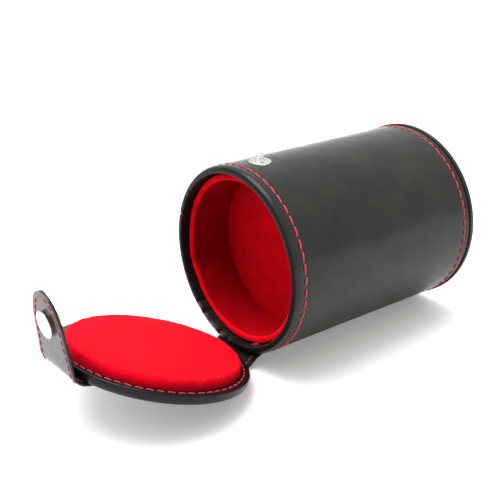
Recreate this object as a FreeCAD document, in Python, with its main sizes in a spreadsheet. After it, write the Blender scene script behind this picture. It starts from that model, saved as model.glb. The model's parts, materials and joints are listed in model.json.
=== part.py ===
import FreeCAD, Part
import math
import os
import re
import Sketcher

# Sizes in millimetres and degrees
sizes = [
    ("cup_length", 105, "from rim to rim, along the axis"),
    ("cup_radius", 40, "outside of the leather"),
    ("wrap_leather", 0.9, "leather round the tube"),
    ("tube_wall", 1.6, "board tube"),
    ("turned_leather", 0.8, "leather folded in over a rim"),
    ("turn_depth", 7, "how far the folded leather reaches in"),
    ("lip_round", 1.3, "outer edge of each rim"),
    ("lip_inner_round", 0.6, "inner edge of each rim"),
    ("rim_raise", 0.6, "far rim proud of the wall"),
    ("rim_round", 0.35, "edge of that raised rim"),
    ("crease_inset", 2.6, "pressed line from the far rim"),
    ("crease_depth", 0.55, "depth of the pressed line"),
    ("divider_thickness", 2.4, "board between the two rooms"),
    ("store_depth", 23.4, "mouth plane to the dice store's floor"),
    ("liner_recess", 3.6, "liner top below a rim"),
    ("liner_gap", 0.5, "between folded leather and liner"),
    ("liner_card", 1.6, "card sleeve"),
    ("velvet", 1.2, "velvet with its backing"),
    ("velvet_round", 0.5, "edge of the velvet at a rim"),
    ("floor_gap", 0.15, "between a floor disc and the liner"),
    ("floor_card", 1.2, "card under the store's floor"),
    ("floor_foam", 3, "foam under the cup's floor"),
    ("strap_width", 26, "strap across wall and lid"),
    ("strap_layer", 0.6, "each of the strap's two leathers"),
    ("strap_sewn", 38, "length of strap sewn to the wall"),
    ("strap_start", 9, "first sewn line from the mouth"),
    ("strap_corner", 6, "rounded corners of the sewn end"),
    ("fold_slope", 34, "fall of the strap off the wall"),
    ("fold_reach", 3.1, "where the strap starts to fall"),
    ("fold_radius", 3.6, "outer face of the fold under the lid"),
    ("fold_ease", 3.2, "outer face where the strap leaves the wall"),
    ("bend_lead", 0.5, "straight start of the fold and of the bend"),
    ("hinge_ahead", 1.4, "fold axis ahead of the mouth plane"),
    ("hinge_below", 0.35, "fold axis below the wall"),
    ("lid_open", 74.43, "lid at rest, from closed"),
    ("lid_standoff", 1.2, "lid off the rim when closed"),
    ("lid_thickness", 4.3, "leather, board and leather"),
    ("lid_leather", 0.8, "lid cover"),
    ("lid_round", 1.8, "outer edge of the lid"),
    ("lid_inner_round", 1.1, "inner edge of the lid"),
    ("lid_turn", 6, "cover folded onto the inner face"),
    ("pad_inset", 4.5, "pad's foot inside the lid's edge"),
    ("pad_height", 4.5, "pad above the lid"),
    ("pad_slope", 1.0, "pad narrower at the top"),
    ("pad_round", 1.6, "pad edge"),
    ("pad_velvet_skin", 0.7, "velvet over the pad"),
    ("pad_card_sheet", 0.9, "card under the pad's foam"),
    ("tab_lean", 22.5, "tab at rest, from closed"),
    ("tab_axis_in", 1.0, "bend axis inside the mouth plane"),
    ("bend_radius", 7.4, "outer face of the bend"),
    ("tab_tip", 12.9, "snap centre to tip"),
    ("tab_neck", 22, "tab width where its end starts"),
    ("tab_end", 11.4, "length of the rounded end"),
    ("tab_waist", 12, "radius where that end starts"),
    ("tab_nose", 6.0, "radius at the tip"),
    ("tab_cheek", 9.0, "radius beside the tip"),
    ("snap_gap", 3.4, "tab above the wall when closed"),
    ("stud_offset", 14.5, "snap centre from the mouth plane"),
    ("stud_flange", 4.65, "radius of the stud's flange"),
    ("stud_plate", 0.9, "thickness of the stud's flange"),
    ("stud_knob", 2.0, "radius of the stud's knob"),
    ("stud_neck", 1.5, "radius under the knob"),
    ("stud_height", 3.6, "knob top above the wall"),
    ("knob_height", 1.6, "knob above its neck"),
    ("rivet_radius", 1.2, "shank through the wall"),
    ("rivet_head", 3.6, "clenched head inside the wall"),
    ("rivet_plate", 0.5, "thickness of that head"),
    ("hole_ease", 0.05, "round a shank in leather or board"),
    ("snap_sheet", 0.35, "metal of cap and socket"),
    ("cap_radius", 5.3, "snap cap"),
    ("cap_wall", 1.15, "upright edge of the cap"),
    ("cap_rise", 1.6, "crown of the cap above the tab"),
    ("cap_barrel", 2.8, "barrel through the tab"),
    ("socket_radius", 5.0, "snap socket"),
    ("socket_lip", 3.0, "mouth of the socket"),
    ("socket_rise", 0.15, "socket above the stud's flange"),
    ("spring_wire", 0.3, "radius of the spring's wire"),
    ("spring_grip", 0.1, "wire to neck when closed"),
]

Vector = FreeCAD.Vector
acrossAxis = Vector(0, 1, 0)
doc = FreeCAD.newDocument("DiceCup")
sheet = doc.addObject("Spreadsheet::Sheet", "Sizes")
for row, (alias, number, note) in enumerate(sizes, 1):
    sheet.set(f"A{row}", note)
    sheet.set(f"B{row}", str(number))
    sheet.setAlias(f"B{row}", alias)
doc.recompute()

aliasPattern = re.compile(r"\b(" + "|".join(alias for alias, _, _ in sizes) + r")\b")


def value(text):
    """The number that an expression on the sheet comes to."""
    result = sheet.evalExpression(text)
    return float(getattr(result, "Value", result))


def bind(target, name, text):
    """Ties a property to an expression on the sheet."""
    target.setExpression(name, aliasPattern.sub(r"Sizes.\1", text))


# Distances that several pieces share, in the cup's own frame.
# X runs along the axis from the mouth of the dice store, and the closed lid
# and the closed tab are drawn in the same frame.
tubeOuter = "(cup_radius - wrap_leather)"
tubeInner = f"({tubeOuter} - tube_wall)"
lipInner = f"({tubeInner} - turned_leather)"
linerOuter = f"({lipInner} - liner_gap)"
cardInner = f"({linerOuter} - liner_card)"
velvetInner = f"({cardInner} - velvet)"
floorRadius = f"({velvetInner} - floor_gap)"
dividerStart = "(store_depth + velvet + floor_card)"
dividerEnd = f"({dividerStart} + divider_thickness)"
cupFloor = f"({dividerEnd} + floor_foam + velvet)"
strapThickness = "(2 * strap_layer)"
lidFace = "(lid_standoff + lid_thickness)"
strapFace = f"({lidFace} + {strapThickness})"
leafInner = "(cup_radius + snap_gap)"
leafOuter = f"({leafInner} + {strapThickness})"
seatHeight = "sqrt(cup_radius^2 - stud_flange^2)"
bendTurn = "(90 - tab_lean)"
bendCorner = f"({leafOuter} - (tab_axis_in + {strapFace}) * tan(tab_lean))"
bendTangent = f"(bend_radius * tan({bendTurn} / 2) + bend_lead)"
bendStart = f"({bendCorner} - {bendTangent})"
leafStart = f"(tab_axis_in - (tab_axis_in + {strapFace}) / cos(tab_lean) + {bendTangent})"

pieces = []


def startBody(name, carrier, place=None):
    """A new piece; carrier is the rigid group that it moves with."""
    body = doc.addObject("PartDesign::Body", name)
    body.Label = name
    pieces.append((body, carrier, place or FreeCAD.Placement()))
    return body


def startSketch(body, name, role, lift=None):
    """A sketch on one of the body's own planes, or lifted off it."""
    sketch = body.newObject("Sketcher::SketchObject", f"{body.Name}_{name}")
    plane = [item for item in body.Origin.OriginFeatures if item.Role == role][0]
    sketch.AttachmentSupport = [(plane, "")]
    sketch.MapMode = "FlatFace"
    if lift is not None:
        bind(sketch, "AttachmentOffset.Base.z", lift)
    doc.recompute()
    return sketch


def fixPoint(sketch, geometry, end, across, up):
    """Holds a sketch point at two expressions; 0 lies on the axis."""
    for text, kind, axis in ((across, "DistanceX", -2), (up, "DistanceY", -1)):
        if text == "0":
            sketch.addConstraint(Sketcher.Constraint("PointOnObject", geometry, end, axis))
            continue
        number = Sketcher.Constraint(kind, -1, 1, geometry, end, value(text))
        bind(sketch, f"Constraints[{sketch.addConstraint(number)}]", text)


def roundedCorner(before, corner, after, radius):
    """Tangent points, centre and middle of the arc that rounds a corner."""
    back = (before - corner).normalize()
    ahead = (after - corner).normalize()
    half = back.getAngle(ahead) / 2
    reach = radius / math.tan(half)
    centre = corner + (back + ahead).normalize() * (radius / math.sin(half))
    middle = centre + (corner - centre).normalize() * radius
    return corner + back * reach, corner + ahead * reach, centre, middle


def outline(sketch, corners):
    """Closed outline through corners (across, up) or (across, up, radius)."""
    points = [Vector(value(corner[0]), value(corner[1]), 0) for corner in corners]
    count = len(points)
    arcs = {}
    for index, corner in enumerate(corners):
        if len(corner) == 3:
            ends = (points[index - 1], points[index], points[(index + 1) % count])
            arcs[index] = roundedCorner(*ends, value(corner[2]))
    lines = []
    for index in range(count):
        after = (index + 1) % count
        start = arcs[index][1] if index in arcs else points[index]
        end = arcs[after][0] if after in arcs else points[after]
        lines.append(sketch.addGeometry(Part.LineSegment(start, end), False))
    for index, corner in enumerate(corners):
        if index not in arcs:
            sketch.addConstraint(
                Sketcher.Constraint("Coincident", lines[index - 1], 2, lines[index], 1))
            fixPoint(sketch, lines[index], 1, corner[0], corner[1])
            continue
        first, last, centre, _ = arcs[index]
        turn = (points[index] - points[index - 1]).cross(last - points[index]).z
        ends = (first, last) if turn > 0 else (last, first)
        angles = [math.atan2(end.y - centre.y, end.x - centre.x) for end in ends]
        if angles[1] < angles[0]:
            angles[1] += 2 * math.pi
        circle = Part.Circle(centre, Vector(0, 0, 1), value(corner[2]))
        arc = sketch.addGeometry(Part.ArcOfCircle(circle, *angles), False)
        near, far = (1, 2) if turn > 0 else (2, 1)
        sketch.addConstraint(Sketcher.Constraint("Tangent", lines[index - 1], 2, arc, near))
        sketch.addConstraint(Sketcher.Constraint("Tangent", arc, far, lines[index], 1))
        radius = Sketcher.Constraint("Radius", arc, value(corner[2]))
        bind(sketch, f"Constraints[{sketch.addConstraint(radius)}]", corner[2])
        mark = sketch.addGeometry(Part.Point(points[index]), True)
        fixPoint(sketch, mark, 1, corner[0], corner[1])
        for line in (lines[index - 1], lines[index]):
            sketch.addConstraint(Sketcher.Constraint("PointOnObject", mark, 1, line))
    doc.recompute()


def revolve(body, corners, axis="H_Axis", angle=360):
    """Turns an outline in the XZ plane about X (H_Axis) or Z (V_Axis)."""
    sketch = startSketch(body, "profile", "XZ_Plane")
    outline(sketch, corners)
    turned = body.newObject("PartDesign::Revolution", f"{body.Name}_turn")
    turned.Profile = sketch
    turned.ReferenceAxis = (sketch, [axis])
    turned.Angle = 360
    if angle != 360:
        turned.Midplane = True
        bind(turned, "Angle", angle)
    doc.recompute()
    return turned


def pad(body, sketch, length, middle=False):
    """Pads a sketch, away from its plane or to both sides of it."""
    block = body.newObject("PartDesign::Pad", f"{body.Name}_pad")
    block.Profile = sketch
    block.Midplane = middle
    bind(block, "Length", length)
    doc.recompute()
    return block


def circleHole(body, name, across, radius, start, depth, probe):
    """Cuts a round hole upwards (+Z) from a height; probe must end up open."""
    sketch = startSketch(body, name, "XY_Plane", start)
    centre = Vector(value(across), 0, 0)
    circle = sketch.addGeometry(Part.Circle(centre, Vector(0, 0, 1), value(radius)), False)
    number = Sketcher.Constraint("Radius", circle, value(radius))
    bind(sketch, f"Constraints[{sketch.addConstraint(number)}]", radius)
    fixPoint(sketch, circle, 3, across, "0")
    cut = body.newObject("PartDesign::Pocket", f"{body.Name}_{name}_cut")
    cut.Profile = sketch
    cut.Reversed = True
    bind(cut, "Length", depth)
    doc.recompute()
    if cut.Shape.isInside(Vector(value(across), 0, value(probe)), 1e-4, True):
        raise ValueError(f"{body.Label}: {name} cuts nothing")
    return cut


def turnedPiece(name, carrier, corners, axis="H_Axis", place=None):
    """A piece of revolution."""
    body = startBody(name, carrier, place)
    revolve(body, corners, axis)
    return body


def ring(start, end, inner, outer):
    """Square corners of a ring or disc about the cup's axis."""
    return [(start, inner), (end, inner), (end, outer), (start, outer)]


# Cup: the leather wrap, folded in over both rims, with a bead pressed up at the far one
def makeWrap():
    body = startBody("outer_wrap", "cup")
    bead = "(cup_radius + rim_raise)"
    revolve(body, [
        ("0", "cup_radius", "lip_round"),
        ("0", lipInner, "lip_inner_round"),
        ("turn_depth", lipInner),
        ("turn_depth", tubeInner),
        ("wrap_leather", tubeInner),
        ("wrap_leather", tubeOuter),
        ("cup_length - wrap_leather", tubeOuter),
        ("cup_length - wrap_leather", tubeInner),
        ("cup_length - turn_depth", tubeInner),
        ("cup_length - turn_depth", lipInner),
        ("cup_length", lipInner, "lip_inner_round"),
        ("cup_length", bead, "lip_round"),
        ("cup_length - crease_inset", bead, "rim_round"),
        ("cup_length - crease_inset", "cup_radius - crease_depth"),
        ("cup_length - crease_inset - crease_depth", "cup_radius"),
    ])
    circleHole(body, "seat", "stud_offset", "stud_flange", seatHeight, "stud_plate",
               "cup_radius - 0.05")
    circleHole(body, "hole", "stud_offset", "rivet_radius + hole_ease", tubeInner,
               "wrap_leather + tube_wall", f"{seatHeight} - 0.05")


def makeTube():
    body = startBody("core_tube", "cup")
    revolve(body, ring("wrap_leather", "cup_length - wrap_leather", tubeInner, tubeOuter))
    circleHole(body, "hole", "stud_offset", "rivet_radius + hole_ease", f"{tubeInner} - 1",
               "tube_wall + wrap_leather + 1", f"{tubeOuter} - tube_wall / 2")


# Dice store, behind the lid
def makeStore():
    turnedPiece("divider_board", "cup", ring(dividerStart, dividerEnd, "0", tubeInner))
    turnedPiece("store_liner_card", "cup",
                ring("liner_recess + velvet", dividerStart, cardInner, linerOuter))
    turnedPiece("store_liner_velvet", "cup", [
        ("liner_recess", velvetInner, "velvet_round"),
        (dividerStart, velvetInner),
        (dividerStart, cardInner),
        ("liner_recess + velvet", cardInner),
        ("liner_recess + velvet", linerOuter),
        ("liner_recess", linerOuter, "velvet_round"),
    ])
    floorTop = "(store_depth + velvet)"
    turnedPiece("store_floor_velvet", "cup", ring("store_depth", floorTop, "0", floorRadius))
    turnedPiece("store_floor_card", "cup", ring(floorTop, dividerStart, "0", floorRadius))


# Shaking cup, open at the far rim
def makeShaker():
    linerTop = "(cup_length - liner_recess)"
    turnedPiece("cup_liner_card", "cup",
                ring(dividerEnd, f"{linerTop} - velvet", cardInner, linerOuter))
    turnedPiece("cup_liner_velvet", "cup", [
        (dividerEnd, velvetInner),
        (linerTop, velvetInner, "velvet_round"),
        (linerTop, linerOuter, "velvet_round"),
        (f"{linerTop} - velvet", linerOuter),
        (f"{linerTop} - velvet", cardInner),
        (dividerEnd, cardInner),
    ])
    foamTop = f"({dividerEnd} + floor_foam)"
    turnedPiece("cup_floor_foam", "cup", ring(dividerEnd, foamTop, "0", floorRadius))
    turnedPiece("cup_floor_velvet", "cup", ring(foamTop, cupFloor, "0", floorRadius))


# Snap stud on the wall, in a frame whose Z axis is the snap's
def makeStud():
    base = f"({seatHeight} - cup_radius)"
    plateTop = f"({base} + stud_plate)"
    neckTop = "(stud_height - knob_height)"
    place = FreeCAD.Placement(Vector(value("stud_offset"), 0, value("cup_radius")),
                              FreeCAD.Rotation())
    turnedPiece("snap_stud", "cup", [
        ("0", base),
        ("stud_flange", base),
        ("stud_flange", plateTop, "stud_plate * 0.6"),
        ("stud_neck + 0.9", plateTop),
        ("stud_neck + 0.6", f"{plateTop} - 0.2"),
        ("stud_neck", f"{plateTop} - 0.2"),
        ("stud_neck", neckTop),
        ("stud_knob", f"{neckTop} + 0.3", "0.2"),
        ("stud_knob", "stud_height", "stud_knob * 0.3"),
        ("0", "stud_height"),
    ], "V_Axis", place)
    headTop = f"(sqrt({tubeInner}^2 - rivet_head^2) - cup_radius)"
    turnedPiece("stud_rivet", "cup", [
        ("0", f"{headTop} - rivet_plate"),
        ("rivet_head", f"{headTop} - rivet_plate"),
        ("rivet_head", headTop),
        ("rivet_radius", headTop),
        ("rivet_radius", base),
        ("0", base),
    ], "V_Axis", place)


# Strap: an outer leather and a lining, sewn to the wall
strapLayers = (("lining", "0", "strap_layer"), ("outer", "strap_layer", strapThickness))
strapAngle = "strap_width / cup_radius * 180 / pi"


def makeStrapOnCup():
    for layer, near, far in strapLayers:
        body = startBody(f"strap_{layer}_on_cup", "cup")
        end = "strap_start + strap_sewn"
        sector = revolve(body, [
            ("strap_start", f"-(cup_radius + {near})"),
            (end, f"-(cup_radius + {near})"),
            (end, f"-(cup_radius + {far})"),
            ("strap_start", f"-(cup_radius + {far})"),
        ], "H_Axis", strapAngle)
        edges = []
        for index, edge in enumerate(body.Shape.Edges, 1):
            middle = edge.CenterOfMass
            short = edge.Length < value("strap_layer") * 1.2
            if short and abs(middle.x - value(end)) < value("hole_ease"):
                edges.append(f"Edge{index}")
        corner = body.newObject("PartDesign::Fillet", f"{body.Name}_corners")
        corner.Base = (sector, edges)
        bind(corner, "Radius", "strap_corner")
        doc.recompute()


def flat(across, up):
    """A point of the XZ plane."""
    return Vector(across, 0, up)


def turnAbout(point, centre, degrees):
    """A point turned about an axis along Y, as the placements turn it."""
    return centre + FreeCAD.Rotation(acrossAxis, degrees).multVec(point - centre)


def meet(first, firstAlong, second, secondAlong):
    """Where two lines of the XZ plane cross."""
    gap = second - first
    bottom = firstAlong.x * secondAlong.z - firstAlong.z * secondAlong.x
    return first + firstAlong * ((gap.x * secondAlong.z - gap.z * secondAlong.x) / bottom)


hinge = flat(-value("hinge_ahead"), -value("cup_radius + hinge_below"))
bendAxis = flat(value("tab_axis_in"), value(leafOuter))


def foldRoute():
    """Outer face of the strap at rest, from the lid's edge to the wall."""
    lidEdge = turnAbout(flat(-value(strapFace), -value("cup_radius")), hinge,
                        -value("lid_open"))
    lidAlong = FreeCAD.Rotation(acrossAxis, -value("lid_open")).multVec(Vector(0, 0, -1))
    slope = math.radians(value("fold_slope"))
    fallAlong = flat(math.cos(slope), math.sin(slope))
    wall = -value(f"cup_radius + {strapThickness}")
    leave = flat(value("fold_reach"), wall)
    under = meet(lidEdge, lidAlong, leave, fallAlong)
    turn = math.radians(value("fold_slope + 90 - lid_open"))
    tangent = value("fold_radius") * math.tan(turn / 2)
    start = under - lidAlong * (tangent + value("bend_lead"))
    end = flat(value("(fold_reach + strap_start) / 2"), wall)
    return [start, under, leave, end]


def bandEdges(route, radii, offset):
    """The route, rounded and moved to its left by an offset."""
    sides = []
    for first, second in zip(route, route[1:]):
        along = (second - first).normalize()
        sides.append(flat(-along.z, along.x))
    corners = [route[0] + sides[0] * offset]
    for index in range(1, len(route) - 1):
        total = sides[index - 1] + sides[index]
        share = offset / (1 + sides[index - 1].dot(sides[index]))
        corners.append(route[index] + total * share)
    corners.append(route[-1] + sides[-1] * offset)
    edges = []
    start = corners[0]
    for index, radius in enumerate(radii, 1):
        leftTurn = sides[index].cross(sides[index - 1]).y > 0
        size = radius - offset if leftTurn else radius + offset
        first, last, _, middle = roundedCorner(
            corners[index - 1], corners[index], corners[index + 1], size)
        edges.append(Part.LineSegment(start, first).toShape())
        edges.append(Part.Arc(first, middle, last).toShape())
        start = last
    edges.append(Part.LineSegment(start, corners[-1]).toShape())
    return edges, corners[0], corners[-1]


def foldLayer(near, far):
    """One leather of the fold: a bent band that widens into the wall's curve."""
    route = foldRoute()
    radii = [value("fold_radius"), value("fold_ease")]
    thickness = value(strapThickness)
    half = value("strap_width") / 2
    outer, outerStart, outerEnd = bandEdges(route, radii, thickness - far)
    inner, innerStart, innerEnd = bandEdges(route, radii, thickness - near)
    caps = [Part.LineSegment(outerStart, innerStart).toShape(),
            Part.LineSegment(outerEnd, innerEnd).toShape()]
    face = Part.Face(Part.Wire(Part.__sortEdges__(outer + inner + caps)))
    face.translate(Vector(0, -half, 0))
    band = face.extrude(Vector(0, 2 * half, 0))
    radius = value("cup_radius")
    spread = half / radius
    flatCorners = [Vector(route[-1].x, side * half, -radius - lift)
                   for side, lift in ((-1, near), (1, near), (1, far), (-1, far))]
    start = value("strap_start")
    arcs = []
    for lift in (near, far):
        size = radius + lift
        ends = [Vector(start, side * size * math.sin(spread), -size * math.cos(spread))
                for side in (-1, 1)]
        arcs.append((ends[0], Vector(start, 0, -size), ends[1]))
    curved = Part.Wire([
        Part.Arc(*arcs[0]).toShape(),
        Part.LineSegment(arcs[0][2], arcs[1][2]).toShape(),
        Part.Arc(*reversed(arcs[1])).toShape(),
        Part.LineSegment(arcs[1][0], arcs[0][0]).toShape(),
    ])
    flatWire = Part.makePolygon(flatCorners + flatCorners[:1])
    return band.fuse(Part.makeLoft([flatWire, curved], True, True)).removeSplitter()


def makeFold():
    for layer, near, far in strapLayers:
        piece = doc.addObject("Part::Feature", f"strap_{layer}_fold")
        piece.Label = f"strap_{layer}_fold"
        piece.Shape = foldLayer(value(near), value(far))
        pieces.append((piece, "cup", FreeCAD.Placement()))


# Lid, drawn closed over the mouth
def makeLid():
    body = startBody("lid_cover", "lid")
    coverOuter = f"-{lidFace}"
    coverInner = "-lid_standoff"
    revolve(body, [
        (coverOuter, "0"),
        (coverOuter, "cup_radius", "lid_round"),
        (coverInner, "cup_radius", "lid_inner_round"),
        (coverInner, "cup_radius - lid_turn"),
        (f"{coverInner} - lid_leather", "cup_radius - lid_turn"),
        (f"{coverInner} - lid_leather", "cup_radius - lid_leather"),
        (f"{coverOuter} + lid_leather", "cup_radius - lid_leather"),
        (f"{coverOuter} + lid_leather", "0"),
    ])
    before = body.Shape.Volume
    bed = startSketch(body, "bed", "XZ_Plane")
    outline(bed, bendSection("(0 - hole_ease)", strapThickness))
    cut = body.newObject("PartDesign::Pocket", "lid_cover_strap_bed")
    cut.Profile = bed
    cut.Midplane = True
    bind(cut, "Length", "strap_width + 4 * hole_ease")
    doc.recompute()
    if body.Shape.Volume > before - 1:
        raise ValueError("the strap's bed cuts nothing")
    boardOuter = f"(lid_leather - {lidFace})"
    boardInner = "(-lid_standoff - lid_leather)"
    edge = "cup_radius - lid_leather"
    turnedPiece("lid_board", "lid", ring(boardOuter, boardInner, "0", edge))
    turnedPiece("lid_filler", "lid",
                ring(boardInner, coverInner, "0", "cup_radius - lid_turn"))


def makePad():
    foot = "-lid_standoff"
    footRadius = "(cup_radius - pad_inset)"
    top = "(pad_height - lid_standoff)"
    topRadius = f"({footRadius} - pad_slope)"
    slant = "pad_slope / pad_height"
    skin = "pad_velvet_skin"
    cardTop = f"({foot} + pad_card_sheet)"
    foamTop = f"({top} - {skin})"
    insideFoot = f"({footRadius} - {skin})"
    insideCard = f"({insideFoot} - pad_card_sheet * {slant})"
    insideTop = f"({insideFoot} - (pad_height - {skin}) * {slant})"
    turnedPiece("pad_velvet", "lid", [
        (foot, footRadius),
        (foot, insideFoot),
        (foamTop, insideTop),
        (foamTop, "0"),
        (top, "0"),
        (top, topRadius, "pad_round"),
    ])
    turnedPiece("pad_foam", "lid", [
        (cardTop, "0"),
        (cardTop, insideCard),
        (foamTop, insideTop),
        (foamTop, "0"),
    ])
    turnedPiece("pad_card", "lid", [
        (foot, "0"),
        (foot, insideFoot),
        (cardTop, insideCard),
        (cardTop, "0"),
    ])


# Strap across the lid and its bend, as it stands at rest
def bendSection(near, far):
    """Section of the bend between two distances from the strap's inner face."""
    corners = []
    for depth, order in ((far, 1), (near, -1)):
        move = f"({strapThickness} - {depth})"
        side = [
            (f"-{strapFace} + {move}", bendStart),
            (f"-{strapFace} + {move}", f"{bendCorner} - {move} * tan({bendTurn} / 2)",
             f"bend_radius - {move}"),
            (f"-{strapFace} + {bendTangent} * cos(tab_lean) + {move} * sin(tab_lean)",
             f"{bendCorner} + {bendTangent} * sin(tab_lean) - {move} * cos(tab_lean)"),
        ]
        corners += side[::order]
    return corners


def makeStrapOnLid():
    foldTurn = "(fold_slope + 90 - lid_open)"
    route = foldRoute()
    hingeEnd = turnAbout(route[0], hinge, value("lid_open")).z
    for layer, near, far in strapLayers:
        body = startBody(f"strap_{layer}_on_lid", "lid")
        sketch = startSketch(body, "outline", "YZ_Plane", f"-({lidFace} + {far})")
        half = "strap_width / 2"
        outline(sketch, [
            (f"-{half}", str(hingeEnd)),
            (half, str(hingeEnd)),
            (half, bendStart),
            (f"-{half}", bendStart),
        ])
        pad(body, sketch, "strap_layer")
        bend = startBody(f"strap_{layer}_bend", "lid")
        section = startSketch(bend, "section", "XZ_Plane")
        outline(section, bendSection(near, far))
        pad(bend, section, "strap_width", True)


# Closure tab, drawn closed above the wall
def makeTab():
    half = "strap_width / 2"
    neck = "tab_neck / 2"
    tip = "(stud_offset + tab_tip)"
    cheek = f"({tip} - tab_end * 0.2)"
    for layer, near, far in strapLayers:
        body = startBody(f"tab_{layer}", "tab")
        sketch = startSketch(body, "outline", "XY_Plane", f"{leafInner} + {near}")
        outline(sketch, [
            (leafStart, f"-{half}"),
            (f"{tip} - tab_end", f"-{neck}", "tab_waist"),
            (cheek, f"-{neck} * 0.72", "tab_cheek"),
            (f"{tip} + tab_end * 0.06", "0", "tab_nose"),
            (cheek, f"{neck} * 0.72", "tab_cheek"),
            (f"{tip} - tab_end", neck, "tab_waist"),
            (leafStart, half),
        ])
        pad(body, sketch, "strap_layer")
        circleHole(body, "hole", "stud_offset", "cap_barrel + hole_ease",
                   f"{leafInner} - 1", "4 + strap_layer", f"{leafInner} + {near} + 0.2")


# Snap cap, socket and spring, in a frame whose Z axis is the snap's
def makeSnap():
    leaf = strapThickness
    place = FreeCAD.Placement(Vector(value("stud_offset"), 0, value(leafInner)),
                              FreeCAD.Rotation())
    bore = "(cap_barrel - snap_sheet)"
    crown = f"({leaf} + cap_rise)"
    turnedPiece("snap_cap", "tab", [
        ("0", crown),
        ("cap_radius * 0.6", crown, "cap_radius * 1.8"),
        ("cap_radius", f"{leaf} + cap_wall", "snap_sheet"),
        ("cap_radius", leaf),
        ("cap_barrel", leaf),
        ("cap_barrel", "-snap_sheet"),
        ("cap_barrel + 0.8", "-snap_sheet"),
        ("cap_barrel + 0.8", "-2 * snap_sheet", "0.15"),
        (bore, "-2 * snap_sheet"),
        (bore, f"{leaf} + snap_sheet"),
        ("0", f"{leaf} + snap_sheet"),
    ], "V_Axis", place)
    plateTop = f"({seatHeight} - cup_radius + stud_plate)"
    bottom = f"({plateTop} + socket_rise - snap_gap)"
    turnedPiece("snap_socket", "tab", [
        ("cap_barrel + hole_ease", "0"),
        ("socket_radius", "0", "0.3"),
        ("socket_radius", bottom, "0.4"),
        ("socket_lip", bottom),
        ("socket_lip", f"{bottom} + snap_sheet"),
        ("socket_radius - snap_sheet", f"{bottom} + snap_sheet"),
        ("socket_radius - snap_sheet", "-snap_sheet"),
        ("cap_barrel + hole_ease", "-snap_sheet"),
    ], "V_Axis", place)
    body = startBody("snap_spring", "tab", place)
    wireHeight = f"({bottom} + snap_sheet + spring_wire)"
    legOffset = "(stud_neck + spring_grip + spring_wire)"
    legStart = "(socket_radius * 0.7)"
    bendCentre = f"(socket_radius - snap_sheet - 2 * spring_wire - {legOffset})"
    path = startSketch(body, "path", "XY_Plane", wireHeight)
    centre = Vector(value(bendCentre), 0, 0)
    offset = Vector(0, value(legOffset), 0)
    back = Vector(-value(legStart), 0, 0)
    legs = [path.addGeometry(Part.LineSegment(back - offset, centre - offset), False),
            path.addGeometry(Part.LineSegment(centre + offset, back + offset), False)]
    circle = Part.Circle(centre, Vector(0, 0, 1), value(legOffset))
    arc = path.addGeometry(Part.ArcOfCircle(circle, -math.pi / 2, math.pi / 2), False)
    path.addConstraint(Sketcher.Constraint("Tangent", legs[0], 2, arc, 1))
    path.addConstraint(Sketcher.Constraint("Tangent", arc, 2, legs[1], 1))
    fixPoint(path, legs[0], 1, f"-{legStart}", f"-{legOffset}")
    fixPoint(path, legs[1], 2, f"-{legStart}", legOffset)
    fixPoint(path, arc, 3, bendCentre, "0")
    wire = startSketch(body, "wire", "YZ_Plane", f"-{legStart}")
    section = Vector(-value(legOffset), value(wireHeight), 0)
    spot = wire.addGeometry(Part.Circle(section, Vector(0, 0, 1), value("spring_wire")), False)
    number = Sketcher.Constraint("Radius", spot, value("spring_wire"))
    bind(wire, f"Constraints[{wire.addConstraint(number)}]", "spring_wire")
    fixPoint(wire, spot, 3, f"-{legOffset}", wireHeight)
    pipe = body.newObject("PartDesign::AdditivePipe", "snap_spring_pipe")
    pipe.Profile = wire
    pipe.Spine = path
    doc.recompute()


def floorTilt():
    """Tilt of the lying cup: a level floor under the fold and the far rim."""
    route = foldRoute()
    _, _, fold, _ = roundedCorner(route[0], route[1], route[2], value("fold_radius"))
    lip = value("lip_round")
    rim = flat(value("cup_length") - lip, lip - value("cup_radius + rim_raise"))
    gap = rim - fold
    rise = math.atan2(gap.z, gap.x)
    return math.degrees(rise - math.asin((lip - value("fold_radius")) / gap.Length))


def wholeBox():
    """Bounding box of every piece."""
    box = FreeCAD.BoundBox()
    for piece, _, _ in pieces:
        box.add(piece.Shape.optimalBoundingBox(False, False))
    return box


def poseAll():
    """Stands the pieces at rest, centred on the floor."""
    tilt = FreeCAD.Placement(Vector(), FreeCAD.Rotation(acrossAxis, floorTilt()))
    open = FreeCAD.Placement(
        Vector(), FreeCAD.Rotation(acrossAxis, -value("lid_open")), hinge)
    lean = FreeCAD.Placement(
        Vector(), FreeCAD.Rotation(acrossAxis, -value("tab_lean")), bendAxis)
    poses = {"cup": tilt, "lid": tilt * open, "tab": tilt * open * lean}
    for piece, carrier, place in pieces:
        piece.Placement = poses[carrier] * place
    box = wholeBox()
    shift = FreeCAD.Placement(
        Vector(-box.Center.x, 0, -box.ZMin), FreeCAD.Rotation())
    for piece, _, _ in pieces:
        piece.Placement = shift * piece.Placement
    return shift * tilt, shift * tilt * open


for make in (makeWrap, makeTube, makeStore, makeShaker, makeStud, makeStrapOnCup, makeFold,
             makeLid, makePad, makeStrapOnLid, makeTab, makeSnap):
    make()
doc.recompute()
cupPose, lidPose = poseAll()
doc.recompute()

for item in doc.Objects:
    if "Invalid" in item.State or "Error" in item.State:
        raise ValueError(f"{item.Label} failed: {item.State}")
for piece, _, _ in pieces:
    if piece.Shape.isNull() or not piece.Shape.isValid():
        raise ValueError(f"{piece.Label} has no valid shape")
os.makedirs("parts", exist_ok=True)
for piece, _, _ in pieces:
    piece.Shape.exportStep(f"parts/{piece.Label}.step")

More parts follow.
